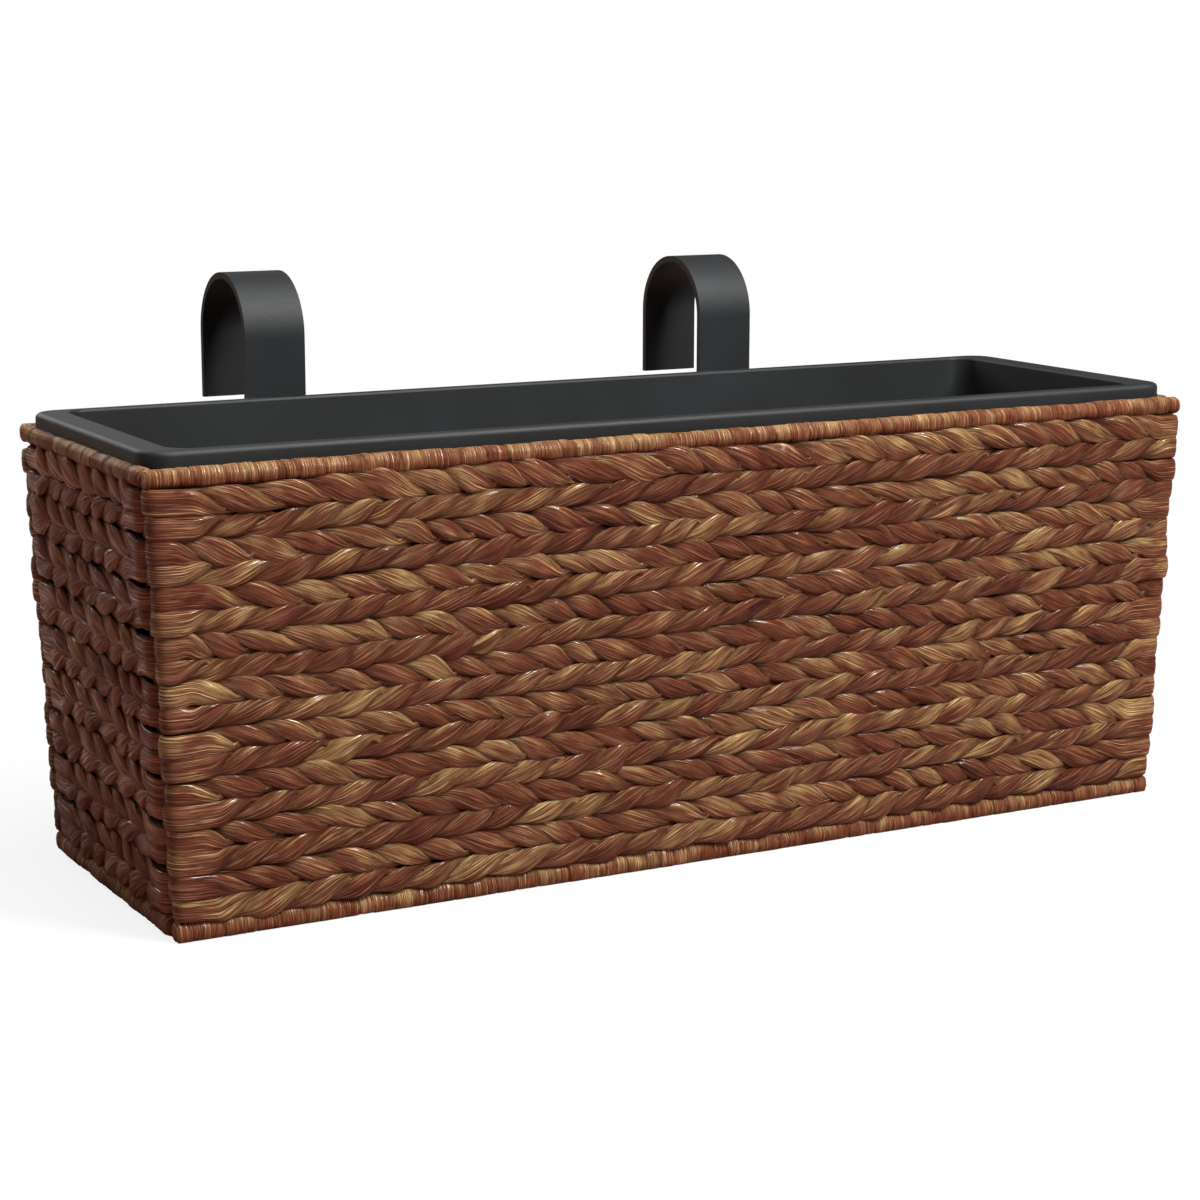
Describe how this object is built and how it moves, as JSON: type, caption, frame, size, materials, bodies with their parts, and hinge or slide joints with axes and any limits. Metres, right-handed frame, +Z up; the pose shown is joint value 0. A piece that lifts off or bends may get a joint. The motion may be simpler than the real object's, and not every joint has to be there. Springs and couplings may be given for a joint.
{
  "type": "window box planter",
  "caption": "Woven rectangular planter box on a wire frame, with a lift-out moulded liner and sliding strip hooks that hang it on a balcony rail.",
  "frame": {"origin": "on the plane that the box stands on, under the middle of the front bottom rim", "axes": "+X along the box, -Y the front, +Y the side with the rail hooks, +Z up"},
  "size_m": [0.5326, 0.2317, 0.2605],
  "materials": {
    "woven_fibre": "matte twisted plant fibre with a faint sheen",
    "wrapping_fibre": "flat wound plant fibre with a faint sheen",
    "frame_steel": "dark brown lacquer",
    "liner_plastic": "matt moulded, charcoal",
    "hook_steel": "satin powder coat, charcoal"
  },
  "bodies": {
    "basket": {"front_course_1": "woven_fibre", "front_course_2": "woven_fibre", "front_course_3": "woven_fibre", "front_course_4": "woven_fibre", "front_course_5": "woven_fibre", "front_course_6": "woven_fibre", "front_course_7": "woven_fibre", "front_course_8": "woven_fibre", "front_course_9": "woven_fibre", "back_course_1": "woven_fibre", "back_course_2": "woven_fibre", "back_course_3": "woven_fibre", "back_course_4": "woven_fibre", "back_course_5": "woven_fibre", "back_course_6": "woven_fibre", "back_course_7": "woven_fibre", "back_course_8": "woven_fibre", "back_course_9": "woven_fibre", "left_course_1": "woven_fibre", "left_course_2": "woven_fibre", "left_course_3": "woven_fibre", "left_course_4": "woven_fibre", "left_course_5": "woven_fibre", "left_course_6": "woven_fibre", "left_course_7": "woven_fibre", "left_course_8": "woven_fibre", "left_course_9": "woven_fibre", "right_course_1": "woven_fibre", "right_course_2": "woven_fibre", "right_course_3": "woven_fibre", "right_course_4": "woven_fibre", "right_course_5": "woven_fibre", "right_course_6": "woven_fibre", "right_course_7": "woven_fibre", "right_course_8": "woven_fibre", "right_course_9": "woven_fibre", "front_stakes": "frame_steel", "back_stakes": "frame_steel", "side_stakes": "frame_steel", "top_rod_front": "frame_steel", "top_rod_back": "frame_steel", "top_rod_left": "frame_steel", "top_rod_right": "frame_steel", "bottom_rod_front": "frame_steel", "bottom_rod_back": "frame_steel", "bottom_rod_left": "frame_steel", "bottom_rod_right": "frame_steel", "top_wrap_front": "wrapping_fibre", "top_wrap_back": "wrapping_fibre", "top_wrap_left": "wrapping_fibre", "top_wrap_right": "wrapping_fibre", "bottom_wrap_front": "wrapping_fibre", "bottom_wrap_back": "wrapping_fibre", "bottom_wrap_left": "wrapping_fibre", "bottom_wrap_right": "wrapping_fibre", "floor_wires": "frame_steel"},
    "liner": {"liner": "liner_plastic"},
    "left_hook": {"left_hook": "hook_steel"},
    "right_hook": {"right_hook": "hook_steel"}
  },
  "joints": [
    {"name": "liner_lift", "type": "slide", "parent": "basket", "child": "liner", "axis": [0, 0, 1], "range_m": [0, 0.21]},
    {"name": "left_hook_slide", "type": "slide", "parent": "basket", "child": "left_hook", "axis": [1, 0, 0], "range_m": [-0.037, 0.122]},
    {"name": "right_hook_slide", "type": "slide", "parent": "basket", "child": "right_hook", "axis": [1, 0, 0], "range_m": [-0.09, 0.069]}
  ]
}
